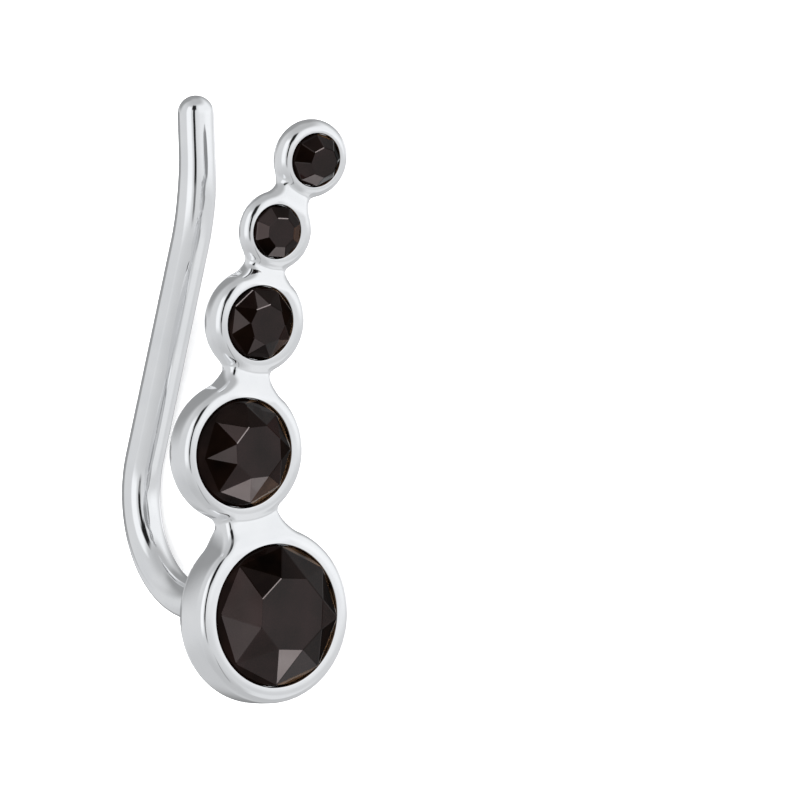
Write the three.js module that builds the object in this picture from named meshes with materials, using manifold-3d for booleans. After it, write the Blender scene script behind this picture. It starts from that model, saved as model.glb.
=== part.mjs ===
// Ear climber: a rising line of five round cups cast in one piece, a flat-back crystal in each cup,
// and a bent ear wire soldered behind the lowest cup.
//
// Millimetres. The climber is made in its worn frame: -Y out of the faces, +Z up the line of cups and
// +X to the side that it leans to. It is then laid on that side, the way it rests on a table by itself.

import * as THREE from 'three';
import { ConvexGeometry } from 'three/addons/geometries/ConvexGeometry.js';
import { ConvexHull } from 'three/addons/math/ConvexHull.js';
import { mergeVertices } from 'three/addons/utils/BufferGeometryUtils.js';
import Module from 'manifold-3d';

// The cups from the lowest to the top one.
// x, y, z: middle of the mouth.  nod, turn: degrees that the face looks down, and to -X.
// mouth, outer: radii of the opening and of the wall.
// rim, wall, depth: how far behind the mouth the rolled rim ends, the full wall ends and the flat back lies.
// pocket: depth of the seat under the crystal.
const CUPS = [
  { x: 0, y: 0, z: 0, nod: 0, turn: 0, mouth: 2.02, outer: 2.49,
    rim: 0.36, wall: 1.0, depth: 1.4, pocket: 0.8, sides: 48 },
  { x: -0.98, y: 0.15, z: 4.55, nod: 1.5, turn: 2, mouth: 1.56, outer: 1.97,
    rim: 0.46, wall: 0.76, depth: 1.12, pocket: 0.65, sides: 42 },
  { x: -0.4, y: 0.2, z: 8.14, nod: 3, turn: 3, mouth: 1.07, outer: 1.48,
    rim: 0.48, wall: 0.58, depth: 0.94, pocket: 0.5, sides: 36 },
  { x: 0.15, y: 0.2, z: 10.66, nod: 3, turn: 3, mouth: 0.785, outer: 1.13,
    rim: 0.22, wall: 0.24, depth: 0.76, pocket: 0.42, sides: 32 },
  { x: 1.34, y: 0.05, z: 12.62, nod: 5.5, turn: 4, mouth: 0.78, outer: 1.1,
    rim: 0.36, wall: 0.4, depth: 0.76, pocket: 0.42, sides: 32 },
];

const RIM_LAND = 0.06; // flat edge round the mouth, before the rim rolls over
const WALL_LEAN = 0.028; // how far a wall leans in at its front, as a share of its radius
const ARC_STEPS = 2; // half the number of straight steps in the rim's rounding and the back edge's

// The crystals, in the same order.
// crown, foot: heights of the table and of the crown's lower corners above the mouth.
// lift: how far the table's middle lies above the mouth's.
// table, corner: their radii, as shares of the mouth's.
// cut: star (table edges and outer edges half a step apart) or step (edges in line), rolled by roll degrees.
const CRYSTALS = [
  { crown: 0.79, lift: 0.1, foot: 0.1, table: 0.53, corner: 0.955, cut: 'star', roll: 3 },
  { crown: 0.8, lift: 0.1, foot: 0.2, table: 0.49, corner: 0.885, cut: 'star', roll: -4 },
  { crown: 0.4, lift: 0, foot: 0.06, table: 0.52, corner: 0.94, cut: 'star', roll: -17 },
  { crown: 0.24, lift: 0, foot: 0.04, table: 0.545, corner: 0.94, cut: 'step', roll: 4 },
  { crown: 0.45, lift: 0, foot: 0.05, table: 0.545, corner: 0.92, cut: 'step', roll: 20 },
];

// The necks, each from one cup to the next: radius of the hollow fillets at its sides, how far its middle
// lies behind the mouths, and the width and thickness of the oval that rounds its front and back.
const NECKS = [
  { fillet: 0.61, behind: 0.61, wide: 2.9, thick: 1.12 },
  { fillet: 0.52, behind: 0.52, wide: 2.2, thick: 0.94 },
  { fillet: 0.42, behind: 0.42, wide: 2.0, thick: 0.76 },
  { fillet: 0.54, behind: 0.38, wide: 1.9, thick: 0.7 },
];
const NECK_SINK = 0.05; // the fillets start this far inside the cups' walls
const NECK_CURVE_STEPS = 8;

// The ear wire lies in the plane x = 0, straight behind the lowest cup. Its corners are where its straight
// runs would meet; each bend rounds one off.
const WIRE_RADIUS = 0.51;
const WIRE_SIDES = 16;
const WIRE_STEPS = 56;
const WIRE_FOOT = { y: 1.0, z: 0.17 }; // inside the floor of the lowest cup
const WIRE_CORNERS = [
  { y: 8.29, z: 0.18, bend: 2.85 },
  { y: 4.02, z: 11.33, bend: 6 },
];
const WIRE_END = { y: 4.17, z: 13.78 }; // middle of the round tip
const TIP_SHARE = 0.975; // radius of the tip's ball over the wire's, so that it sits inside the wire's flats
const TIP_SIDES = 16;

const CRYSTAL_GAP = 0.05; // glue between a crystal and its cup
const FACETS = 8;
const GIRDLE_DROP = 0.12; // the crystal reaches its full width this far below the mouth
const GIRDLE_SIDES = 24;

const SILVER = { color: 0xdcdddf, metalness: 1, roughness: 0.12, density: 10.36e-3 };
const CRYSTAL = { color: 0x1d1817, metalness: 0, roughness: 0.04, density: 2.5e-3 }; // g per mm3

const wasm = await Module();
wasm.setup();

const UP = new THREE.Vector3(0, 1, 0);
const OUT_OF_FACE = new THREE.Vector3(0, -1, 0);

// ---- solids ----------------------------------------------------------------------------------

// A closed three.js geometry as a manifold-3d solid.
function toSolid(geometry) {
  const bare = geometry.clone();
  bare.deleteAttribute('normal');
  bare.deleteAttribute('uv');
  const merged = mergeVertices(bare, 1e-5);
  const mesh = new wasm.Mesh({
    numProp: 3,
    vertProperties: new Float32Array(merged.attributes.position.array),
    triVerts: new Uint32Array(merged.index.array),
  });
  return new wasm.Manifold(mesh);
}

function toGeometry(solid) {
  const mesh = solid.getMesh();
  const geometry = new THREE.BufferGeometry();
  geometry.setAttribute('position', new THREE.BufferAttribute(mesh.vertProperties, 3));
  geometry.setIndex(new THREE.BufferAttribute(mesh.triVerts, 1));
  return geometry;
}

// ---- cups ------------------------------------------------------------------------------------

// From a cup's own frame, with +Y out of its mouth, to the worn frame.
function cupPlace(cup) {
  const rotation = new THREE.Matrix4().makeRotationZ(THREE.MathUtils.degToRad(-cup.turn));
  rotation.multiply(new THREE.Matrix4().makeRotationX(THREE.MathUtils.degToRad(cup.nod)));
  rotation.multiply(new THREE.Matrix4().makeRotationZ(Math.PI));
  return rotation.setPosition(cup.x, cup.y, cup.z);
}

// Half section of a cup before its pocket is cut, from the middle of its flat back, up the wall and over
// the rolled rim to the middle of its mouth. x is the radius and y the height above the mouth.
function cupSection({ mouth, outer, rim, wall, depth }) {
  const edge = depth - wall;
  const front = outer * (1 - WALL_LEAN);
  const roll = front - mouth - RIM_LAND;
  const section = new THREE.Path();
  section.moveTo(0, -depth);
  section.lineTo(outer - edge, -depth);
  section.absellipse(outer - edge, -wall, edge, edge, -Math.PI / 2, 0, false);
  section.lineTo(front, -rim);
  section.absellipse(front - roll, -rim, roll, rim, 0, Math.PI / 2, false);
  section.lineTo(0, 0);
  return section.getPoints(ARC_STEPS);
}

function cupSolid(cup) {
  const geometry = new THREE.LatheGeometry(cupSection(cup), cup.sides);
  return toSolid(geometry.applyMatrix4(cupPlace(cup)));
}

// The pocket that is cut into a cup for its crystal, with room above it.
function pocketSolid(cup) {
  const height = 2 * cup.pocket;
  const geometry = new THREE.CylinderGeometry(cup.mouth, cup.mouth, height, cup.sides);
  geometry.translate(0, height / 2 - cup.pocket, 0);
  return toSolid(geometry.applyMatrix4(cupPlace(cup)));
}

// ---- necks -----------------------------------------------------------------------------------

// Outline of a neck in the face plane, x across and y from the lower cup's middle to the upper one's:
// on each side a fillet that is tangent to a circle just inside each round wall.
function neckOutline(radius, lower, upper, span) {
  const reachLower = lower - NECK_SINK + radius;
  const reachUpper = upper - NECK_SINK + radius;
  const y = (span ** 2 + reachLower ** 2 - reachUpper ** 2) / (2 * span);
  const x = Math.sqrt(reachLower ** 2 - y ** 2);
  const startAngle = Math.atan2(-y, -x);
  const endAngle = Math.atan2(span - y, -x);
  const outline = new THREE.Shape();
  outline.absarc(x, y, radius, startAngle, endAngle, true);
  outline.absarc(-x, y, radius, Math.PI - endAngle, Math.PI - startAngle, true);
  return outline;
}

// The outline, as thick as the cups, is cut down to an oval bar that runs from cup to cup.
function neckSolid(neck, lower, upper) {
  const from = new THREE.Vector3(lower.x, lower.y, lower.z);
  const along = new THREE.Vector3(upper.x, upper.y, upper.z).sub(from);
  const span = along.length();
  const steps = { curveSegments: NECK_CURVE_STEPS, bevelEnabled: false };
  const outline = neckOutline(neck.fillet, lower.outer, upper.outer, span);
  const web = new THREE.ExtrudeGeometry(outline, { ...steps, depth: lower.depth });
  web.translate(0, 0, -lower.depth);
  const oval = new THREE.Shape().absellipse(0, neck.behind, neck.wide / 2, neck.thick / 2, 0, 2 * Math.PI);
  const bar = new THREE.ExtrudeGeometry(oval, { ...steps, depth: span });
  bar.rotateX(-Math.PI / 2);
  along.normalize();
  const across = along.clone().cross(OUT_OF_FACE).normalize();
  const out = across.clone().cross(along);
  const place = new THREE.Matrix4().makeBasis(across, along, out).setPosition(from);
  return toSolid(web.applyMatrix4(place)).intersect(toSolid(bar.applyMatrix4(place)));
}

// ---- ear wire --------------------------------------------------------------------------------

// A wire bent round in the plane x = 0: straight runs between corners, each corner rounded by an arc.
class BentWire extends THREE.Curve {
  constructor(foot, corners, end) {
    super();
    const stops = [foot, ...corners, end].map((stop) => new THREE.Vector2(stop.y, stop.z));
    this.runs = [];
    let start = stops[0];
    corners.forEach((corner, i) => {
      const arc = BentWire.arc(stops[i], stops[i + 1], stops[i + 2], corner.bend);
      this.addLine(start, arc.from);
      this.runs.push(arc);
      start = arc.to;
    });
    this.addLine(start, stops[stops.length - 1]);
    this.span = this.runs.reduce((sum, run) => sum + run.length, 0);
  }

  static arc(before, corner, after, bend) {
    const back = before.clone().sub(corner).normalize();
    const on = after.clone().sub(corner).normalize();
    const half = Math.acos(back.dot(on)) / 2;
    const centre = back.clone().add(on).setLength(bend / Math.sin(half)).add(corner);
    const from = corner.clone().addScaledVector(back, bend / Math.tan(half));
    const to = corner.clone().addScaledVector(on, bend / Math.tan(half));
    const sweep = (Math.PI - 2 * half) * Math.sign(on.cross(back));
    const at = (share) => from.clone().rotateAround(centre, sweep * share);
    return { from, to, length: bend * Math.abs(sweep), at };
  }

  addLine(from, to) {
    this.runs.push({ length: from.distanceTo(to), at: (share) => from.clone().lerp(to, share) });
  }

  getPoint(t, target = new THREE.Vector3()) {
    let left = t * this.span;
    let index = 0;
    while (index < this.runs.length - 1 && left > this.runs[index].length) {
      left -= this.runs[index].length;
      index += 1;
    }
    const run = this.runs[index];
    const point = run.at(left / run.length);
    return target.set(0, point.x, point.y);
  }
}

function circle(radius, sides) {
  const points = [];
  for (let i = 0; i < sides; i += 1) {
    const angle = (2 * Math.PI * i) / sides;
    points.push(new THREE.Vector2(radius * Math.cos(angle), radius * Math.sin(angle)));
  }
  return new THREE.Shape(points);
}

function wireSolid() {
  const path = new BentWire(WIRE_FOOT, WIRE_CORNERS, WIRE_END);
  const wire = new THREE.ExtrudeGeometry(circle(WIRE_RADIUS, WIRE_SIDES), {
    steps: WIRE_STEPS,
    extrudePath: path,
  });
  const tip = new THREE.SphereGeometry(WIRE_RADIUS * TIP_SHARE, TIP_SIDES, TIP_SIDES / 2);
  const end = path.getPoint(1);
  tip.applyQuaternion(new THREE.Quaternion().setFromUnitVectors(UP, path.getTangent(1)));
  tip.translate(end.x, end.y, end.z);
  return toSolid(wire).add(toSolid(tip));
}

// ---- crystals --------------------------------------------------------------------------------

// A ring of points about a cup's axis. Turned by start, clockwise as seen from the front.
function ringPoints(count, radius, height, start) {
  const points = [];
  for (let i = 0; i < count; i += 1) {
    const angle = start + (2 * Math.PI * i) / count;
    points.push(new THREE.Vector3(-radius * Math.sin(angle), height, radius * Math.cos(angle)));
  }
  return points;
}

// A flat-back crystal: table, faceted crown, round girdle and flat back.
function crystalGeometry(crystal, cup) {
  const roll = THREE.MathUtils.degToRad(crystal.roll);
  const halfStep = Math.PI / FACETS;
  const cornerStart = crystal.cut === 'star' ? roll : roll + halfStep;
  const girdle = cup.mouth - CRYSTAL_GAP;
  const table = ringPoints(FACETS, crystal.table * cup.mouth, crystal.crown, roll + halfStep);
  table.forEach((point) => {
    point.z += crystal.lift;
  });
  const points = [
    ...table,
    ...ringPoints(FACETS, crystal.corner * cup.mouth, crystal.foot, cornerStart),
    ...ringPoints(GIRDLE_SIDES, girdle, -GIRDLE_DROP, roll),
    ...ringPoints(GIRDLE_SIDES, girdle, CRYSTAL_GAP - cup.pocket, roll),
  ];
  return new ConvexGeometry(points).applyMatrix4(cupPlace(cup));
}

// ---- the climber in its worn frame -----------------------------------------------------------

function silverGeometry() {
  const cups = CUPS.map(cupSolid);
  const necks = NECKS.map((neck, i) => neckSolid(neck, CUPS[i], CUPS[i + 1]));
  let solid = wireSolid();
  [...cups, ...necks].forEach((piece) => {
    solid = solid.add(piece);
  });
  CUPS.forEach((cup) => {
    solid = solid.subtract(pocketSolid(cup));
  });
  return toGeometry(solid);
}

function namedMesh(name, geometry, look) {
  const { color, metalness, roughness } = look;
  const mesh = new THREE.Mesh(geometry, new THREE.MeshStandardMaterial({ color, metalness, roughness }));
  mesh.name = name;
  mesh.userData.density = look.density;
  return mesh;
}

const climber = new THREE.Group();
climber.add(namedMesh('silver_frame', silverGeometry(), SILVER));
CUPS.forEach((cup, i) => {
  climber.add(namedMesh(`stone_${i + 1}`, crystalGeometry(CRYSTALS[i], cup), CRYSTAL));
});

// ---- how it rests on a table -----------------------------------------------------------------

// Centre of mass, from the signed tetrahedra between the origin and each triangle.
function centreOfMass(meshes) {
  const centre = new THREE.Vector3();
  let mass = 0;
  const [a, b, c] = [new THREE.Vector3(), new THREE.Vector3(), new THREE.Vector3()];
  meshes.forEach((mesh) => {
    const position = mesh.geometry.getAttribute('position');
    const index = mesh.geometry.getIndex();
    const count = index ? index.count : position.count;
    for (let i = 0; i < count; i += 3) {
      [a, b, c].forEach((corner, k) => {
        corner.fromBufferAttribute(position, index ? index.getX(i + k) : i + k);
      });
      const share = (mesh.userData.density * a.dot(b.clone().cross(c))) / 6;
      centre.addScaledVector(a.add(b).add(c), share / 4);
      mass += share;
    }
  });
  return centre.divideScalar(mass);
}

function cornersOf(mesh) {
  const position = mesh.geometry.getAttribute('position');
  const corners = [];
  for (let i = 0; i < position.count; i += 1) {
    corners.push(new THREE.Vector3().fromBufferAttribute(position, i));
  }
  return corners;
}

// The faces of the convex hull on the +X side that the centre of mass can stand over, and of those the one
// that lets it lie lowest.
function restingFace(meshes) {
  const centre = centreOfMass(meshes);
  const hull = new ConvexHull().setFromPoints(meshes.flatMap(cornersOf));
  const ray = new THREE.Ray(centre);
  const hit = new THREE.Vector3();
  const stable = hull.faces.filter((face) => {
    const corners = [face.edge.tail(), face.edge.head(), face.edge.next.head()].map((v) => v.point);
    ray.direction.copy(face.normal);
    return face.normal.x > 0.5 && ray.intersectTriangle(...corners, false, hit);
  });
  const drop = (face) => -face.distanceToPoint(centre);
  return stable.reduce((best, face) => (drop(face) < drop(best) ? face : best));
}

const layDown = new THREE.Group();
layDown.rotation.y = Math.PI / 2; // the line of cups along +X, its leaning side down
layDown.add(climber);
layDown.updateMatrixWorld(true);
const down = restingFace(climber.children).normal.clone().applyQuaternion(layDown.quaternion);
const settle = new THREE.Quaternion().setFromUnitVectors(down, new THREE.Vector3(0, 0, -1));
layDown.quaternion.premultiply(settle);

// The origin is the middle of the footprint, on the table.
const group = new THREE.Group();
group.add(layDown);
const box = new THREE.Box3().setFromObject(group, true);
layDown.position.set(-(box.min.x + box.max.x) / 2, -(box.min.y + box.max.y) / 2, -box.min.z);

export default group;
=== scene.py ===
"""Ear climber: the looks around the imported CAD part, in metres, in the row frame.

The silver is one smooth skin: a distance field of the cups, necks and ear wire is meshed, and the
pockets for the crystals are cut into it. The crystals are faceted solids with fine bevels.
Both are made in the worn frame, in millimetres: -Y out of the faces, +Z up the line of cups, +X to the
side that the climber leans to. The place of the CAD crystals then gives the move to the row frame.
"""

import math

import bmesh
import bpy
import numpy as np
from mathutils import Matrix, Vector


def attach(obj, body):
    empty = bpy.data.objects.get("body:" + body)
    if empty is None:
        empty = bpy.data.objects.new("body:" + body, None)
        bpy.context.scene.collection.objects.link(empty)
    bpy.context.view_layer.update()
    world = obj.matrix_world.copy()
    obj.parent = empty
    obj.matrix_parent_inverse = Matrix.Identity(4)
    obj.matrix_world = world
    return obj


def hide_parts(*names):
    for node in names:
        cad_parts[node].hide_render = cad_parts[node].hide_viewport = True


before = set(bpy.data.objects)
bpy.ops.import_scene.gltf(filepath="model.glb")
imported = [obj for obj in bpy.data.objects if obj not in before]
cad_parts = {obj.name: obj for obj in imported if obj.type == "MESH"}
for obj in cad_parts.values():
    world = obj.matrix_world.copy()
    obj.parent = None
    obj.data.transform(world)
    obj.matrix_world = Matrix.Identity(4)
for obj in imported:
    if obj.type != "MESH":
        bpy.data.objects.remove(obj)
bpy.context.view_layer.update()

MM = 0.001

# ---- the climber's own numbers, in mm and degrees --------------------------------------------

# The cups, from the lowest to the top one. They are the CAD's, but the rims of the top two roll further
# back here, and power, aside, facets, glint and spark are the scene's own.
# at: middle of the mouth. nod, turn: how far the face looks down, and to the left.
# mouth, outer: radii of the mouth and of the wall. rim: depth of the rim's roll.
# power shapes that roll: 2 is an ellipse, more makes its top flatter and its outer corner tighter.
# wall: depth to where the rounding of the back starts. depth: depth of the back.
# aside: how far the wall's middle lies to the right of the mouth's.
# pocket: depth of the crystal's seat. crown: height of its table above the mouth.
# lift: how far the table's middle lies above the mouth's.
# table, corner: radii of the crystal's table and of its crown's lower corners, as shares of the mouth's.
# foot: height of those corners above the mouth.
# cut: star has its lower corners between the table's corners, step has them under the table's corners.
# roll: how far the crystal is turned, clockwise.
# facets: the crown's facets clockwise from the top one, every half step, in painted tones: . plain; d dim,
# s dusk and b black, painted shade; w brown, the foil's colour with its painted glint; and a figure for the
# painted inner light that a plain one sends back from inside, up to 9. In a step cut only every second mark
# has a facet.
# glint, spark: places, counted in the same way, of a painted glint on an edge of the table and of one at
# the rim.
CUPS = [
    dict(at=(0, 0, 0), nod=0, turn=0, mouth=2.02, outer=2.49, rim=0.36, power=2.7,
         wall=1.0, depth=1.4, aside=0, pocket=0.8,
         crown=0.79, table=0.53, lift=0.1, corner=0.955, foot=0.1, cut="star", roll=3,
         facets="dddbsbd.7..111db", glint=14, spark=None),
    dict(at=(-0.98, 0.15, 4.55), nod=1.5, turn=2, mouth=1.56, outer=1.97, rim=0.46, power=2.6,
         wall=0.76, depth=1.12, aside=0.06, pocket=0.65,
         crown=0.8, table=0.49, lift=0.1, corner=0.885, foot=0.2, cut="star", roll=-4,
         facets="ddsbbbsw57.b1b1d", glint=14, spark=None),
    dict(at=(-0.4, 0.2, 8.14), nod=3, turn=3, mouth=1.07, outer=1.48, rim=0.48, power=2.4,
         wall=0.58, depth=0.94, aside=0.06, pocket=0.5,
         crown=0.4, table=0.52, lift=0, corner=0.94, foot=0.06, cut="star", roll=-17,
         facets="1ddbbbsw.d1bb1bd", glint=0, spark=15),
    dict(at=(0.15, 0.2, 10.66), nod=3, turn=3, mouth=0.785, outer=1.13, rim=0.42, power=2,
         wall=0.24, depth=0.76, aside=0.1, pocket=0.42,
         crown=0.24, table=0.545, lift=0, corner=0.94, foot=0.04, cut="step", roll=4,
         facets="d.d.w.d.3.b.2...", glint=0, spark=None),
    dict(at=(1.34, 0.05, 12.62), nod=5.5, turn=4, mouth=0.78, outer=1.1, rim=0.42, power=2,
         wall=0.4, depth=0.76, aside=0, pocket=0.42,
         crown=0.45, table=0.545, lift=0, corner=0.92, foot=0.05, cut="step", roll=20,
         facets="d.b.b.d.4...b.d.", glint=14, spark=None),
]
RIM_LAND = 0.03  # flat edge round the mouth, before the rim rolls over; half as wide as in the CAD
LIP = (0.04, 0.06)  # the mouth's rounded inner lip, over the crystal's edge: width and depth
WALL_LEAN = 0.028  # how far a wall leans in at its front, as a share of its radius
LEAST_ROLL = 0.05  # a rim's distance isn't scaled down further than this
POCKET_SIDES = 192

# The necks: half width at the cup above, and depth of the back.
NECKS = [
    dict(half=0.92, back=1.14),
    dict(half=0.7, back=0.98),
    dict(half=0.64, back=0.8),
    dict(half=0.58, back=0.72),
]
NECK_BACK_EDGE = 0.3  # rounding of the necks' back edges
NECK_BURIED = 0.25  # the end of a neck's back dives this far into the cup above,
BURIED_FROM, BURIED_AT = 0.25, 0.5  # between these shares of that cup's radius in from its wall
NECK_RUN = 0.35  # way from the cup's wall to where the neck has its own depth
SLOPE_START = 0.12  # a neck's face starts to slope this far from the mouth,
SLOPE_ROUND = 0.2  # with this rounding
SEAM_DROP = 0.13  # a neck meets the cup above this far behind its mouth
SEAM_BLEND = (0.1, 0.2)  # rounding of that seam, at the front and at the walls
SEAM_FACE = 0.35  # depth over which it grows

# The ear wire's centreline in the plane x = 0: depth behind the faces, and height.
WIRE_RADIUS = 0.51
WIRE_FOOT = (1.0, 0.17)  # inside the lowest cup
WIRE_CORNERS = [((8.29, 0.18), 2.85), ((4.02, 11.33), 6.0)]  # each with the radius of its bend
WIRE_END = (4.17, 13.78)  # middle of the round tip
WIRE_SWELL = (0.03, 11.3, 12.8)  # added to the radius below the first height, but not above the second
SOLDER = 0.3  # rounding where the wire meets the cup

FACETS = 8  # round the crown, in each of the table's and the lower corners' rings
CRYSTAL_GAP = 0.05  # left between a crystal and its pocket
GIRDLE_DROP = 0.12  # depth of the crystals' widest part below the mouth
CAD_GIRDLE_SIDES = 24
GIRDLE_SIDES = 96
FLAT_ANGLE = 0.5  # faces that differ by less than this are one
SHARP_ANGLE = 6  # edges sharper than this are bevelled,
FACET_BEVEL = 0.016  # so far to each side

# Looks of the crystals' facets: index of refraction, and the darkest and lightest colour of the body.
# The dim, dusk, black and edge looks are copies of the one glass that reflect less and are darker: painted
# shade. The warm and brown looks are the foil's brown with a painted glint.
CRYSTAL_LOOKS = {
    "plain": (1.38, (0.0036, 0.0018, 0.0014), (0.008, 0.004, 0.0037)),
    "dim": (1.15, (0.002, 0.001, 0.0008), (0.0045, 0.0025, 0.002)),
    "dusk": (1.06, (0.004, 0.002, 0.0015), (0.008, 0.004, 0.0035)),
    "shaded_black": (1.012, (0.0008, 0.0005, 0.0004), (0.003, 0.0015, 0.001)),
    "edge": (1.12, (0.001, 0.0006, 0.0005), (0.005, 0.0025, 0.002)),
    "foil_and_glint": (1.2, (0.004, 0.002, 0.001), (0.08, 0.045, 0.024)),
    "brown": (1.1, (0.008, 0.004, 0.003), (0.035, 0.019, 0.012)),
}
LOOKS = list(CRYSTAL_LOOKS)
MARKS = {"d": "dim", "s": "dusk", "b": "shaded_black", "w": "brown"}
PAINTED_INNER_LIGHT = ((0.102, 0.084, 0.083), (0.133, 0.116, 0.114))  # painted inner light: the colour of a facet that sends light back from inside
BRIGHTEST = 9  # the figure of a facet that has just this colour
PAINTED_GLINT = 1  # painted glint of the bright edges: just this colour too

# How a crystal's face is told from the others. Facing is the cosine of its normal to the crystal's axis.
LOWER_FROM = 0.2  # the faces under the crown have their middles below this share of the way to the girdle, and between these directions, clockwise from the top, they are the foil's brown with a painted glint; elsewhere they are darker, painted shade
FOIL_AND_GLINT_CLOCK = (10, 165)  # and between these directions, clockwise from the top, they are warm
TABLE_FACING = 0.985
SMALLEST_FACET = 0.02  # a smaller face, as a share of the mouth's radius squared, is a bevel
GLINT_FACING = 0.75
GLINT_HEIGHT = 0.9  # as a share of the crown's height
SPARK_FACING = 0.2
SPARK_HEIGHT = 0.5

SKIN_PITCH = 0.06  # cell of the grid on which the silver is meshed
SKIN_LOW = (-3.1, -0.4, -2.7)  # corners of that grid
SKIN_HIGH = (2.6, 8.0, 14.5)
SKIN_FITS = 3  # times that the mesh is moved onto the field's zero
BELOW_SEAT, ABOVE_MOUTH = 0.01, 0.05  # room below the seat and above the mouth for a pocket's faces
UPRIGHT = 0.5  # a pocket's wall faces the front less than this, as a cosine,
LIP_FACING = 0.95  # and its lip less than this
LEAST_STEEPNESS = 0.000001  # keeps these moves short where the field is flat
SLOPE_STEP = 0.004
TINY = 1e-9  # keeps divisions away from zero
FAR = 1e9
MOST_OFF = 0.00002  # the crystals of the CAD and of the scene have to agree so far, in metres,
SAME_DIGITS = 7  # and vertices of the CAD that agree to so many digits are one


def unit(v):
    v = np.asarray(v, float)
    return v / np.linalg.norm(v)


def eased(share):
    """A share of 0..1 with a soft start and a soft end."""
    return share ** 2 * (3 - 2 * share)


def cup_axes(cup):
    """Columns: across the face, out of the mouth, up the face, in the worn frame."""
    turn = math.radians(-cup["turn"])
    nod = math.radians(cup["nod"])
    turned = np.array(Matrix.Rotation(turn, 3, "Z") @ Matrix.Rotation(nod, 3, "X"))
    return turned @ np.diag([-1.0, -1.0, 1.0])


# ---- from the worn frame to the row frame ----------------------------------------------------


def ring(count, radius, height, start):
    """Points about a cup's axis, in its own frame: clockwise from the top, seen from the front."""
    angles = start + 2 * np.pi * np.arange(count) / count
    return np.stack([-radius * np.sin(angles), np.full(count, height), radius * np.cos(angles)], 1)


def crystal_points(cup, girdle_sides):
    """Corners of a crystal in its cup's own frame: table, crown's lower corners, girdle and base."""
    roll = math.radians(cup["roll"])
    half_step = math.pi / FACETS
    crown_start = roll if cup["cut"] == "star" else roll + half_step
    girdle = cup["mouth"] - CRYSTAL_GAP
    return np.concatenate([
        ring(FACETS, cup["table"] * cup["mouth"], cup["crown"], roll + half_step) + (0, 0, cup["lift"]),
        ring(FACETS, cup["corner"] * cup["mouth"], cup["foot"], crown_start),
        ring(girdle_sides, girdle, -GIRDLE_DROP, roll),
        ring(girdle_sides, girdle, CRYSTAL_GAP - cup["pocket"], roll),
    ])


def worn_to_row():
    """The move that takes the crystals of the worn frame (mm) to those of the CAD (metres)."""
    worn = []
    row = []
    for i, cup in enumerate(CUPS):
        points = crystal_points(cup, CAD_GIRDLE_SIDES) @ cup_axes(cup).T + cup["at"]
        worn.append(points.mean(0) * MM)
        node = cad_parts[f"stone_{i + 1}"]
        found = np.array([v.co for v in node.data.vertices])
        row.append(np.unique(found.round(SAME_DIGITS), axis=0).mean(0))
    worn = np.array(worn)
    row = np.array(row)
    u, _, vt = np.linalg.svd((worn - worn.mean(0)).T @ (row - row.mean(0)))
    side = np.sign(np.linalg.det(vt.T @ u.T))
    rotation = vt.T @ np.diag([1, 1, side]) @ u.T
    shift = row.mean(0) - rotation @ worn.mean(0)
    error = np.abs(worn @ rotation.T + shift - row).max()
    if error > MOST_OFF:
        raise RuntimeError(f"the crystals of the CAD lie {error / MM:.3f} mm from the scene's")
    return rotation, shift


TO_ROW, ROW_SHIFT = worn_to_row()


def in_row(worn_mm):
    return np.asarray(worn_mm) * MM @ TO_ROW.T + ROW_SHIFT


# ---- distance field of the silver, in the worn frame ------------------------------------------


def smooth_min(a, b, k):
    share = np.clip(0.5 + 0.5 * (b - a) / k, 0, 1)
    return b * (1 - share) + a * share - k * share * (1 - share)


def smooth_max(a, b, k):
    return -smooth_min(-a, -b, k)


def rolled(beside, above, cup):
    """Distance from a front edge rolled over like a cup's rim.

    beside, above: how far a point lies outside the wall and in front of the top.
    """
    rim = cup["rim"]
    roll = cup["outer"] * (1 - WALL_LEAN) - cup["mouth"] - RIM_LAND
    power = cup["power"]
    across = np.maximum(beside + roll, 0) / roll
    up = np.maximum(above + rim, 0) / rim
    scale = (across * roll + up * rim) / (across + up + TINY)
    return ((across ** power + up ** power) ** (1 / power) - 1) * np.maximum(scale, LEAST_ROLL)


def back_edge(beside, below, edge):
    """Distance from a rounded back edge; below is how far a point lies behind where the rounding starts."""
    return np.hypot(np.maximum(beside + edge, 0), np.maximum(below, 0)) - edge


def toward(cup, upper):
    """The direction to the next cup in this one's face, and the length and rise of the way there."""
    way = (np.array(upper["at"]) - cup["at"]) @ cup_axes(cup)
    way[0] += cup["aside"] - upper["aside"]
    span = math.hypot(way[0], way[2])
    return way[0] / span, way[2] / span, span, way[1]


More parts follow.
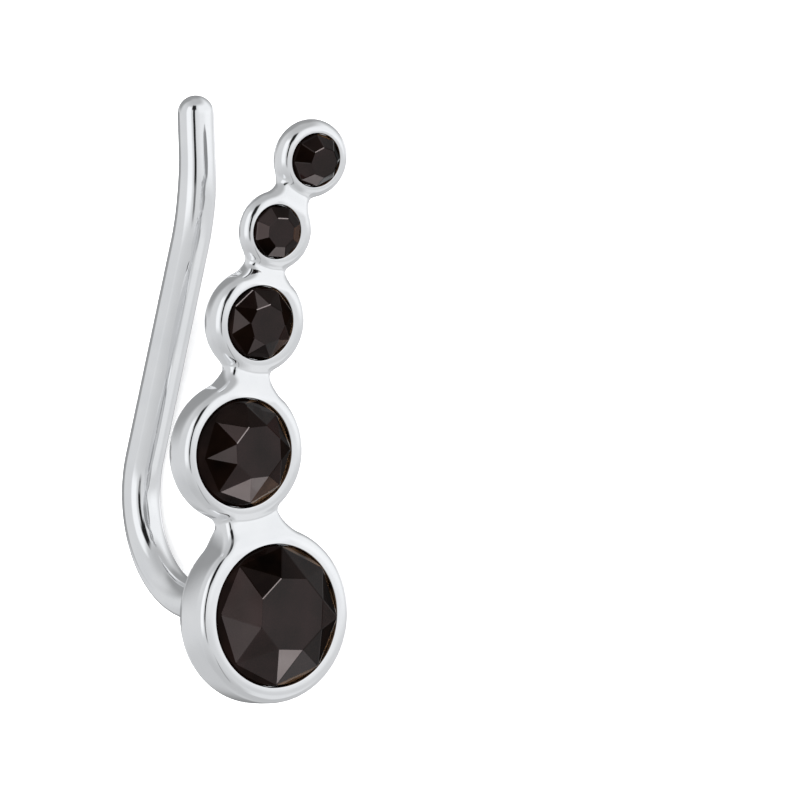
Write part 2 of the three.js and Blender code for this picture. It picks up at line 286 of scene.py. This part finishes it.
def cup_distance(p, cup, neck=None, upper=None):
    """A cup, drawn out where a neck leads to the cup above.

    The neck's sides leave the cup's wall in hollow arcs, and its face slopes from the mouth's edge to
    just behind the rim of the cup above.
    """
    local = (p - cup["at"]) @ cup_axes(cup)
    across = local[:, 0] + cup["aside"]
    radius = np.hypot(across, local[:, 2])
    height = local[:, 1]
    wall = cup["wall"]
    outer = cup["outer"]
    forward = np.clip((height + wall) / wall, 0, 1)
    beside = radius - outer
    if neck is None:
        back = back_edge(beside, -wall - height, cup["depth"] - wall)
        return np.maximum(rolled(beside + outer * WALL_LEAN * forward ** 2, height, cup), back)
    side_x, side_z, span, rise = toward(cup, upper)
    along = across * side_x + local[:, 2] * side_z
    off = np.abs(across * side_z - local[:, 2] * side_x)
    half = neck["half"]
    end = span - math.sqrt(upper["outer"] ** 2 - half ** 2)
    fillet = (half ** 2 + end ** 2 - outer ** 2) / (2 * (outer - half))
    side = np.where(along > end, off - half, fillet - np.hypot(off - half - fillet, along - end))
    in_neck = off * end < along * (half + fillet)
    beside = np.where(in_neck, side, beside)
    first = cup["mouth"] + SLOPE_START
    last = span - upper["outer"]
    slope = (SEAM_DROP - rise) / (last - first)
    fall = slope * smooth_min(smooth_max(along - first, 0, SLOPE_ROUND), last - first, SLOPE_ROUND)
    front = rolled(beside + outer * WALL_LEAN * forward ** 2, height + fall, cup)
    gone = np.clip((radius - outer) / NECK_RUN, 0, 1)
    share = eased(gone)
    edge = cup["depth"] - wall
    edge += (NECK_BACK_EDGE - edge) * share
    way_in = (along - last) / upper["outer"]
    buried = np.clip((way_in - BURIED_FROM) / (BURIED_AT - BURIED_FROM), 0, 1)
    deep = cup["depth"] + (neck["back"] - cup["depth"]) * share - NECK_BURIED * eased(buried)
    back = back_edge(beside, edge - deep - height, edge)
    return np.maximum(np.maximum(front, back), along - span + upper["outer"] / 2)


def wire_runs():
    """The wire's centreline in the plane x = 0: straight runs and the arcs between them."""
    stops = [np.array(WIRE_FOOT)] + [np.array(at) for at, _ in WIRE_CORNERS] + [np.array(WIRE_END)]
    runs = []
    start = stops[0]
    for i, (_, bend) in enumerate(WIRE_CORNERS):
        corner = stops[i + 1]
        back = unit(stops[i] - corner)
        on = unit(stops[i + 2] - corner)
        half = math.acos(float(back @ on)) / 2
        centre = corner + unit(back + on) * bend / math.sin(half)
        entry = corner + back * bend / math.tan(half)
        leave = corner + on * bend / math.tan(half)
        runs.append(("line", start, entry))
        runs.append(("arc", centre, unit(corner - centre), math.pi / 2 - half, bend))
        start = leave
    runs.append(("line", start, stops[-1]))
    return runs


WIRE_RUNS = wire_runs()


def wire_distance(p):
    flat = p[:, 1:]
    best = np.full(len(p), FAR)
    for run in WIRE_RUNS:
        if run[0] == "line":
            _, start, end = run
            along = end - start
            share = np.clip((flat - start) @ along / (along @ along), 0, 1)
            gap = np.linalg.norm(flat - start - share[:, None] * along, axis=1)
        else:
            _, centre, middle, half_sweep, bend = run
            arm = flat - centre
            reach = np.linalg.norm(arm, axis=1) + TINY
            inside = arm @ middle / reach > math.cos(half_sweep)
            gap = np.where(inside, np.abs(reach - bend), FAR)
        best = np.minimum(best, gap)
    swell, full, none = WIRE_SWELL
    share = np.clip((none - p[:, 2]) / (none - full), 0, 1)
    return np.hypot(best, p[:, 0]) - WIRE_RADIUS - swell * eased(share)


def silver_distance(p):
    body = None
    for i, cup in enumerate(CUPS):
        last = i + 1 == len(CUPS)
        lobe = cup_distance(p, cup) if last else cup_distance(p, cup, NECKS[i], CUPS[i + 1])
        if body is None:
            body = lobe
            continue
        depth = -((p - cup["at"]) @ cup_axes(cup))[:, 1]
        blend = np.interp(depth, (SEAM_DROP, SEAM_DROP + SEAM_FACE), SEAM_BLEND)
        body = smooth_min(body, lobe, blend)
    return smooth_min(body, wire_distance(p), SOLDER)


def gradient(p):
    slopes = []
    for axis in range(3):
        move = np.zeros(3)
        move[axis] = SLOPE_STEP
        slopes.append(silver_distance(p + move) - silver_distance(p - move))
    return np.stack(slopes, 1) / (2 * SLOPE_STEP)


# ---- meshing -----------------------------------------------------------------------------------


def surface_net(distance, low, high, pitch):
    """Vertices and quads of the surface where distance is 0, from a regular grid."""
    counts = np.ceil((high - low) / pitch).astype(int) + 1
    axes = [low[i] + pitch * np.arange(counts[i]) for i in range(3)]
    values = np.empty(counts, np.float32)
    plane_y, plane_z = np.meshgrid(axes[1], axes[2], indexing="ij")
    for i, x in enumerate(axes[0]):
        points = np.stack([np.full(plane_y.size, x), plane_y.ravel(), plane_z.ravel()], 1)
        values[i] = distance(points).reshape(plane_y.shape)
    solid = values < 0
    cells = tuple(counts - 1)
    total = np.zeros(cells + (3,), np.float32)
    hits = np.zeros(cells, np.int32)
    corners = [(i, j, k) for i in (0, 1) for j in (0, 1) for k in (0, 1)]
    for a in corners:
        for axis in range(3):
            if a[axis]:
                continue
            b = tuple(c + (n == axis) for n, c in enumerate(a))
            part_a = tuple(slice(c, c + n) for c, n in zip(a, cells))
            part_b = tuple(slice(c, c + n) for c, n in zip(b, cells))
            va = values[part_a]
            vb = values[part_b]
            cross = (va < 0) != (vb < 0)
            share = np.where(cross, va / np.where(cross, va - vb, 1), 0)
            hits += cross
            for n in range(3):
                total[..., n] += np.where(cross, a[n] + (share if n == axis else 0), 0)
    used = hits > 0
    number = np.full(cells, -1, np.int64)
    number[used] = np.arange(used.sum())
    where = np.argwhere(used)
    vertices = low + pitch * (where + total[used] / hits[used][:, None])
    quads = []
    for axis in range(3):
        first, second = [(1, 2), (2, 0), (0, 1)][axis]
        near = [slice(None)] * 3
        far = [slice(None)] * 3
        near[axis] = slice(0, -1)
        far[axis] = slice(1, None)
        change = solid[tuple(near)] != solid[tuple(far)]
        spots = np.argwhere(change)
        inner = np.all([(spots[:, n] > 0) & (spots[:, n] < cells[n]) for n in (first, second)], axis=0)
        spots = spots[inner]
        steps = [(0, 0), (1, 0), (1, 1), (0, 1)]
        loop = []
        for da, db in steps:
            cell = spots.copy()
            cell[:, first] -= 1 - da
            cell[:, second] -= 1 - db
            loop.append(number[tuple(cell.T)])
        faces = np.stack(loop, 1)
        outward = solid[tuple(spots.T)]
        faces[~outward] = faces[~outward][:, ::-1]
        quads.append(faces)
    return vertices, np.concatenate(quads)


def mesh_from(name, vertices, faces):
    mesh = bpy.data.meshes.new(name)
    mesh.from_pydata(vertices.tolist(), [], faces.tolist())
    mesh.update()
    return mesh


def shown(name, mesh):
    piece = bpy.data.objects.new(name, mesh)
    bpy.context.scene.collection.objects.link(piece)
    return piece


def pocket_cutter(cup):
    """A fine cylinder where the crystal sits, flared at the lip, with room above it, in the worn frame."""
    axes = cup_axes(cup)
    n = POCKET_SIDES
    mouth = cup["mouth"]
    seat = mouth - LIP[0]
    steps = [(seat, -cup["pocket"]), (seat, -LIP[1]), (mouth, 0), (mouth, cup["crown"])]
    rings = [ring(n, radius, height, 0) for radius, height in steps]
    vertices = np.concatenate(rings) @ axes.T + cup["at"]
    faces = [tuple(range(n))[::-1], tuple(range(len(vertices) - n, len(vertices)))]
    for first in range(0, len(vertices) - n, n):
        for i in range(n):
            j = (i + 1) % n
            faces.append((first + i, first + j, first + n + j, first + n + i))
    mesh = bpy.data.meshes.new("cutter")
    mesh.from_pydata(vertices.tolist(), [], faces)
    bm = bmesh.new()
    bm.from_mesh(mesh)
    bmesh.ops.recalc_face_normals(bm, faces=bm.faces)
    bm.to_mesh(mesh)
    bm.free()
    return shown("cutter", mesh)


def cut_pockets(skin):
    cutters = [pocket_cutter(cup) for cup in CUPS]
    for cutter in cutters:
        cut = skin.modifiers.new("pocket", "BOOLEAN")
        cut.operation = "DIFFERENCE"
        cut.solver = "MANIFOLD"
        cut.object = cutter
    bpy.context.view_layer.update()
    shape = skin.evaluated_get(bpy.context.evaluated_depsgraph_get())
    mesh = bpy.data.meshes.new_from_object(shape)
    mesh.materials.clear()
    mesh.polygons.foreach_set("material_index", np.zeros(len(mesh.polygons), np.int32))
    skin.modifiers.clear()
    skin.data = mesh
    for cutter in cutters:
        bpy.data.objects.remove(cutter)


def silver_normals(mesh):
    """One normal for each face corner: the field's own, and inside the pockets those of plain shapes."""
    count = len(mesh.vertices)
    co = np.empty(count * 3)
    mesh.vertices.foreach_get("co", co)
    co = co.reshape(-1, 3)
    loops = np.empty(len(mesh.loops), int)
    mesh.loops.foreach_get("vertex_index", loops)
    sizes = np.empty(len(mesh.polygons), int)
    mesh.polygons.foreach_get("loop_total", sizes)
    centres = np.empty(len(mesh.polygons) * 3)
    mesh.polygons.foreach_get("center", centres)
    centres = centres.reshape(-1, 3)
    face_normals = np.empty(len(mesh.polygons) * 3)
    mesh.polygons.foreach_get("normal", face_normals)
    face_normals = face_normals.reshape(-1, 3)
    slopes = gradient(co)
    steepness = np.maximum(np.linalg.norm(slopes, axis=1), TINY)
    normals = (slopes / steepness[:, None])[loops]
    face_of_loop = np.repeat(np.arange(len(sizes)), sizes)
    for cup in CUPS:
        axes = cup_axes(cup)
        local = (centres - cup["at"]) @ axes
        radius = np.hypot(local[:, 0], local[:, 2])
        height = local[:, 1]
        leaning = np.abs(face_normals @ axes[:, 1])
        inside = (radius < cup["mouth"]) & (height > -cup["pocket"] - BELOW_SEAT) & (height < ABOVE_MOUTH)
        upright = leaning < UPRIGHT
        on_wall = (inside & (height < -LIP[1]) & upright)[face_of_loop]
        on_floor = (inside & ~upright & (height < -cup["pocket"] / 2))[face_of_loop]
        on_lip = (inside & (height > -LIP[1]) & (leaning < LIP_FACING))[face_of_loop]
        spot = (co[loops] - cup["at"]) @ axes
        share = np.clip(spot[:, 1] / LIP[1] + 1, 0, 1)[:, None]
        spot[:, 1] = 0
        inward = -spot / (np.linalg.norm(spot, axis=1)[:, None] + TINY)
        round_lip = inward * (1 - share) + share * (0, 1, 0)
        round_lip /= np.linalg.norm(round_lip, axis=1)[:, None]
        normals[on_wall] = (inward @ axes.T)[on_wall]
        normals[on_floor] = axes[:, 1]
        normals[on_lip] = (round_lip @ axes.T)[on_lip]
    return normals


def make_silver():
    vertices, quads = surface_net(silver_distance, np.array(SKIN_LOW), np.array(SKIN_HIGH), SKIN_PITCH)
    for _ in range(SKIN_FITS):
        slopes = gradient(vertices)
        size = np.maximum((slopes ** 2).sum(1), LEAST_STEEPNESS)
        vertices -= (silver_distance(vertices) / size)[:, None] * slopes
    skin = shown("silver_climber", mesh_from("silver_climber", vertices, quads))
    cut_pockets(skin)
    mesh = skin.data
    normals = silver_normals(mesh) @ TO_ROW.T
    co = np.empty(len(mesh.vertices) * 3)
    mesh.vertices.foreach_get("co", co)
    mesh.vertices.foreach_set("co", in_row(co.reshape(-1, 3)).ravel())
    mesh.polygons.foreach_set("use_smooth", np.ones(len(mesh.polygons), bool))
    mesh.update()
    mesh.normals_split_custom_set(normals.tolist())
    return skin


def facet_looks(cup, bm):
    """The look of each face, the glass or a darker copy of it for painted shade, and its painted inner
    light or glint, from the chart of the cup's facets.
    """
    lower = cup["foot"] - LOWER_FROM * (cup["foot"] + GIRDLE_DROP)
    smallest = SMALLEST_FACET * cup["mouth"] ** 2
    found = {}
    bevels = []
    for face in bm.faces:
        facing = face.normal.y
        height = face.calc_center_median().y
        clock = math.degrees(math.atan2(-face.normal.x, face.normal.z))
        place = round((clock - cup["roll"]) / (180 / FACETS)) % (2 * FACETS)
        # Lower faces: on one side the foil's brown with a painted glint, on the other a darker copy,
        # painted shade.
        if height < lower:
            found[face] = ("foil_and_glint" if FOIL_AND_GLINT_CLOCK[0] < clock < FOIL_AND_GLINT_CLOCK[1] else "edge", 0)
        elif facing > TABLE_FACING:
            found[face] = ("plain", 0)
        elif face.calc_area() >= smallest:
            mark = cup["facets"][place]
            found[face] = (MARKS.get(mark, "plain"), int(mark) / BRIGHTEST if mark.isdigit() else 0)
        # Painted glints: a bright edge of the table, and one at the rim.
        elif facing > GLINT_FACING and height > GLINT_HEIGHT * cup["crown"] and place == cup["glint"]:
            found[face] = ("plain", PAINTED_GLINT)
        elif facing > SPARK_FACING and height < SPARK_HEIGHT * cup["crown"] and place == cup["spark"]:
            found[face] = ("plain", PAINTED_GLINT)
        else:
            bevels.append(face)
    # The other bevels take the duller look of the facets beside their two long edges.
    for face in bevels:
        sides = sorted(face.edges, key=lambda edge: edge.calc_length())[-2:]
        beside = [found[other] for edge in sides for other in edge.link_faces if other in found]
        found[face] = min(beside, key=lambda look_and_painted_glow: look_and_painted_glow[1], default=("dim", 0))
    looks = [LOOKS.index(found[face][0]) for face in bm.faces]
    return looks, [found[face][1] for face in bm.faces]


def make_crystal(i, cup):
    """A crystal with its facets' looks, darker copies among them for painted shade, as material slots and
    their painted inner light as an attribute.
    """
    bm = bmesh.new()
    for point in crystal_points(cup, GIRDLE_SIDES):
        bm.verts.new(point)
    bmesh.ops.convex_hull(bm, input=bm.verts)
    bmesh.ops.dissolve_limit(bm, angle_limit=math.radians(FLAT_ANGLE), verts=bm.verts, edges=bm.edges)
    least = math.radians(SHARP_ANGLE)
    sharp = [edge for edge in bm.edges if edge.is_manifold and edge.calc_face_angle() > least]
    bmesh.ops.bevel(bm, geom=sharp, offset=FACET_BEVEL, segments=1, profile=0.5, affect="EDGES",
                    clamp_overlap=True)
    bm.normal_update()
    looks, painted_glows = facet_looks(cup, bm)
    mesh = bpy.data.meshes.new(f"crystal_{i + 1}")
    bm.to_mesh(mesh)
    bm.free()
    mesh.polygons.foreach_set("material_index", looks)
    # Each face's painted inner light or painted glint, for the material.
    painted_glow = mesh.attributes.new("painted_glow", "FLOAT", "FACE")
    painted_glow.data.foreach_set("value", painted_glows)
    co = np.empty(len(mesh.vertices) * 3)
    mesh.vertices.foreach_get("co", co)
    worn = co.reshape(-1, 3) @ cup_axes(cup).T + cup["at"]
    mesh.vertices.foreach_set("co", in_row(worn).ravel())
    mesh.update()
    return shown(f"crystal_{i + 1}", mesh)


# ---- materials -----------------------------------------------------------------------------------

SILVER_COLOURS = ((0.90, 0.905, 0.915), (0.955, 0.955, 0.96))
SILVER_ROUGHNESS = (0.035, 0.085)
SILVER_BUMP = dict(strength=0.35, depth=0.00001)  # depth in metres
CRYSTAL_ROUGHNESS = (0.01, 0.04)
MIX_LOW, MIX_HIGH, MIX_RESULT = 6, 7, 2  # a mix node's sockets for colours
FLOOR_COLOURS = ((0.86, 0.86, 0.86), (0.88, 0.88, 0.88))
FLOOR_ROUGHNESS = 0.9
FLOOR_GLOW = 0.3  # the floor is a light table: it takes most of the shadow away


def new_material(name):
    material = bpy.data.materials.new(name)
    material.use_nodes = True
    nodes = material.node_tree.nodes
    nodes.clear()
    output = nodes.new("ShaderNodeOutputMaterial")
    shader = nodes.new("ShaderNodeBsdfPrincipled")
    material.node_tree.links.new(shader.outputs[0], output.inputs[0])
    return material, shader


def noise(material, scale, detail):
    nodes = material.node_tree.nodes
    place = nodes.new("ShaderNodeTexCoord")
    texture = nodes.new("ShaderNodeTexNoise")
    texture.inputs["Scale"].default_value = scale
    texture.inputs["Detail"].default_value = detail
    material.node_tree.links.new(place.outputs["Object"], texture.inputs["Vector"])
    return texture.outputs["Fac"]


def spread(material, value, low, high, start=0.3, end=0.7):
    """A value in start..end, taken to low..high."""
    change = material.node_tree.nodes.new("ShaderNodeMapRange")
    for name, number in (("From Min", start), ("From Max", end), ("To Min", low), ("To Max", high)):
        change.inputs[name].default_value = number
    material.node_tree.links.new(value, change.inputs["Value"])
    return change.outputs["Result"]


def blended(material, value, low, high):
    """Two colours mixed by a value."""
    mix = material.node_tree.nodes.new("ShaderNodeMix")
    mix.data_type = "RGBA"
    mix.inputs[MIX_LOW].default_value = (*low, 1)
    mix.inputs[MIX_HIGH].default_value = (*high, 1)
    material.node_tree.links.new(value, mix.inputs[0])
    return mix.outputs[MIX_RESULT]


def bump(material, shader, value, strength, depth):
    relief = material.node_tree.nodes.new("ShaderNodeBump")
    relief.inputs["Strength"].default_value = strength
    relief.inputs["Distance"].default_value = depth
    material.node_tree.links.new(value, relief.inputs["Height"])
    material.node_tree.links.new(relief.outputs["Normal"], shader.inputs["Normal"])


def silver_material():
    material, shader = new_material("polished_silver")
    link = material.node_tree.links.new
    cloud = noise(material, scale=900, detail=2)
    grain = noise(material, scale=9000, detail=4)
    ripple = noise(material, scale=1400, detail=2)
    colour = blended(material, spread(material, cloud, 0, 1), *SILVER_COLOURS)
    link(colour, shader.inputs["Base Color"])
    link(spread(material, grain, *SILVER_ROUGHNESS), shader.inputs["Roughness"])
    shader.inputs["Metallic"].default_value = 1.0
    bump(material, shader, ripple, **SILVER_BUMP)
    return material


def crystal_material(look, ior, deep, light):
    """Black glass. Its body is mottled from deep to light, and a painted inner light is mixed over it where
    a facet has one.
    """
    material, shader = new_material(f"crystal_{look}")
    link = material.node_tree.links.new
    cloud = noise(material, scale=1100, detail=2)
    body = blended(material, spread(material, cloud, 0, 1), deep, light)
    # Painted inner light: a lighter colour mixed over the body by each face's painted glow; it is no lamp.
    slow_cloud = noise(material, scale=900, detail=1)
    inside = blended(material, spread(material, slow_cloud, 0, 1), *PAINTED_INNER_LIGHT)
    painted_glow = material.node_tree.nodes.new("ShaderNodeAttribute")
    painted_glow.attribute_name = "painted_glow"
    mix = material.node_tree.nodes.new("ShaderNodeMix")
    mix.data_type = "RGBA"
    link(painted_glow.outputs["Fac"], mix.inputs[0])
    link(body, mix.inputs[MIX_LOW])
    link(inside, mix.inputs[MIX_HIGH])
    link(mix.outputs[MIX_RESULT], shader.inputs["Base Color"])
    grain = noise(material, scale=5000, detail=3)
    link(spread(material, grain, *CRYSTAL_ROUGHNESS), shader.inputs["Roughness"])
    shader.inputs["IOR"].default_value = ior
    return material


def floor_material():
    material, shader = new_material("pale_floor")
    link = material.node_tree.links.new
    cloud = noise(material, scale=30, detail=2)
    colour = blended(material, spread(material, cloud, 0, 1), *FLOOR_COLOURS)
    link(colour, shader.inputs["Base Color"])
    shader.inputs["Roughness"].default_value = FLOOR_ROUGHNESS
    shader.inputs["Emission Color"].default_value = (1, 1, 1, 1)
    shader.inputs["Emission Strength"].default_value = FLOOR_GLOW
    return material


# ---- floor, light and camera ------------------------------------------------------------------

FLOOR_SIDE = 3.0  # metres
FLOOR_STEPS = 24
SOFTBOX = dict(toward=(0.1, -0.3, 1), distance=0.4, size=1.6, power=15)  # row frame, metres and watts
VIEW_TURN = 33.1  # the camera stands so many degrees to the left of the faces,
VIEW_RISE = 3.4  # and so many degrees above the middle of the lowest cup, in the worn frame
VIEW_WIDTH = 22.2  # width of the picture at the climber, mm
VIEW_CENTRE = (3.41, 5.99)  # middle of the picture, right of and above the lowest cup's mouth, mm
VIEW_DISTANCE = 900  # mm
SENSOR = 36
CLIP = (0.01, 20)  # metres


def view_axes():
    """The camera's right, up and back, in the worn frame."""
    turn = math.radians(VIEW_TURN)
    rise = math.radians(VIEW_RISE)
    right = np.array([math.cos(turn), -math.sin(turn), 0])
    up = np.array([math.sin(turn) * math.sin(rise), math.cos(turn) * math.sin(rise), math.cos(rise)])
    back = np.cross(right, up)
    return right, up, back


def make_camera():
    right, up, back = view_axes()
    aim = right * VIEW_CENTRE[0] + up * VIEW_CENTRE[1]
    data = bpy.data.cameras.new("camera")
    data.sensor_width = SENSOR
    data.lens = SENSOR * VIEW_DISTANCE / VIEW_WIDTH
    data.clip_start, data.clip_end = CLIP
    camera = bpy.data.objects.new("camera", data)
    bpy.context.scene.collection.objects.link(camera)
    rotation = TO_ROW @ np.stack([right, up, back], 1)
    place = Matrix(rotation.tolist()).to_4x4()
    place.translation = Vector(in_row(aim + back * VIEW_DISTANCE))
    camera.matrix_world = place
    bpy.context.scene.camera = camera


TENT_LIGHT = 0.70  # radiance outside the zones
# Zones of the tent, in the worn frame: middle, half width and softness of the azimuth (to the left of
# the faces' own direction), the same of the elevation, all in degrees, and the radiance. A later zone
# covers the ones before it.
TENT_ZONES = [
    (0, 180, 10, -75, 40, 40, 0.55),
    (0, 180, 10, 82, 32, 50, 0.50),
    (190, 45, 30, 38, 30, 24, 0.33),
    (172, 40, 24, -46, 20, 24, 0.60),
    (-105, 30, 20, 22, 20, 20, 0.50),
    (-40, 60, 50, 27, 28, 30, 0.95),
    (-52, 26, 36, 6, 10, 18, 1.0),
    (-147, 20, 24, -3, 30, 30, 0.28),
    (77, 16, 10, 12, 30, 16, 1.0),
    (-118, 12, 5, 3, 6, 5, 1.05),
    (-45, 25, 20, -42, 16, 14, 0.8),
    (190, 34, 10, -3, 5, 5, 0.33),
    (14, 3, 5, -44, 14, 12, 0.25),
    (43, 15, 7, 40, 15, 12, 0.015),
    (43, 7, 5, 14, 23, 12, 0.015),
    (43, 6, 6, -15, 8, 10, 0.2),
]
TENT_TINT = (0.965, 0.982, 1.0)


def make_world():
    """The tent: a shader that turns each direction into the worn frame's and mixes the zones' light."""
    world = bpy.data.worlds.new("tent")
    world.use_nodes = True
    bpy.context.scene.world = world
    tree = world.node_tree
    tree.nodes.clear()

    def math_node(kind, *values):
        node = tree.nodes.new("ShaderNodeMath")
        node.operation = kind
        for socket, value in zip(node.inputs, values):
            if isinstance(value, (int, float)):
                socket.default_value = value
            else:
                tree.links.new(value, socket)
        return node.outputs[0]

    direction = tree.nodes.new("ShaderNodeTexCoord").outputs["Generated"]
    worn = []
    for axis in range(3):
        dot = tree.nodes.new("ShaderNodeVectorMath")
        dot.operation = "DOT_PRODUCT"
        tree.links.new(direction, dot.inputs[0])
        dot.inputs[1].default_value = TO_ROW[:, axis].tolist()
        worn.append(dot.outputs["Value"])
    to_left = math_node("MULTIPLY", worn[0], -1.0)
    to_front = math_node("MULTIPLY", worn[1], -1.0)
    azimuth = math_node("MULTIPLY", math_node("ARCTAN2", to_left, to_front), 180 / math.pi)
    elevation = math_node("MULTIPLY", math_node("ARCSINE", worn[2]), 180 / math.pi)

    def band(value, middle, half, soft):
        """1 within half of the middle, 0 outside, with a soft edge."""
        away = math_node("PINGPONG", math_node("SUBTRACT", value, float(middle)), 180)
        fade = tree.nodes.new("ShaderNodeMapRange")
        fade.interpolation_type = "SMOOTHSTEP"
        tree.links.new(away, fade.inputs["Value"])
        numbers = {"From Min": half - soft / 2, "From Max": half + soft / 2, "To Min": 1, "To Max": 0}
        for name, number in numbers.items():
            fade.inputs[name].default_value = number
        return fade.outputs["Result"]

    light = TENT_LIGHT
    for az, az_half, az_soft, el, el_half, el_soft, radiance in TENT_ZONES:
        beside = band(azimuth, az, az_half, az_soft)
        mask = math_node("MULTIPLY", beside, band(elevation, el, el_half, el_soft))
        keep = math_node("SUBTRACT", 1.0, mask)
        light = math_node("ADD", math_node("MULTIPLY", keep, light), math_node("MULTIPLY", mask, radiance))
    background = tree.nodes.new("ShaderNodeBackground")
    tree.links.new(light, background.inputs["Strength"])
    background.inputs["Color"].default_value = (*TENT_TINT, 1)
    output = tree.nodes.new("ShaderNodeOutputWorld")
    tree.links.new(background.outputs[0], output.inputs[0])


def make_floor():
    bm = bmesh.new()
    bmesh.ops.create_grid(bm, x_segments=FLOOR_STEPS, y_segments=FLOOR_STEPS, size=FLOOR_SIDE / 2)
    mesh = bpy.data.meshes.new("floor")
    bm.to_mesh(mesh)
    bm.free()
    floor = shown("floor", mesh)
    floor.data.materials.append(floor_material())
    floor.visible_glossy = False


def make_light(name, toward, distance, size, power):
    """A round area light in the direction toward (row frame) that faces the climber."""
    data = bpy.data.lights.new(name, "AREA")
    data.shape = "DISK"
    data.size = size
    data.energy = power
    light = bpy.data.objects.new(name, data)
    bpy.context.scene.collection.objects.link(light)
    direction = Vector(toward).normalized()
    light.location = direction * distance
    light.rotation_euler = direction.to_track_quat("Z", "Y").to_euler()
    light.visible_glossy = False


# ---- the scene ------------------------------------------------------------------------------------

silver = make_silver()
silver.data.materials.append(silver_material())
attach(silver, "root")
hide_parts("silver_frame")

crystal_looks = [crystal_material(look, *numbers) for look, numbers in CRYSTAL_LOOKS.items()]
for number, setting in enumerate(CUPS):
    crystal = make_crystal(number, setting)
    for look in crystal_looks:
        crystal.data.materials.append(look)
    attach(crystal, "root")
    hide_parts(f"stone_{number + 1}")

make_floor()
make_world()
make_light("softbox", **SOFTBOX)
make_camera()
bpy.context.scene.view_settings.view_transform = "Standard"
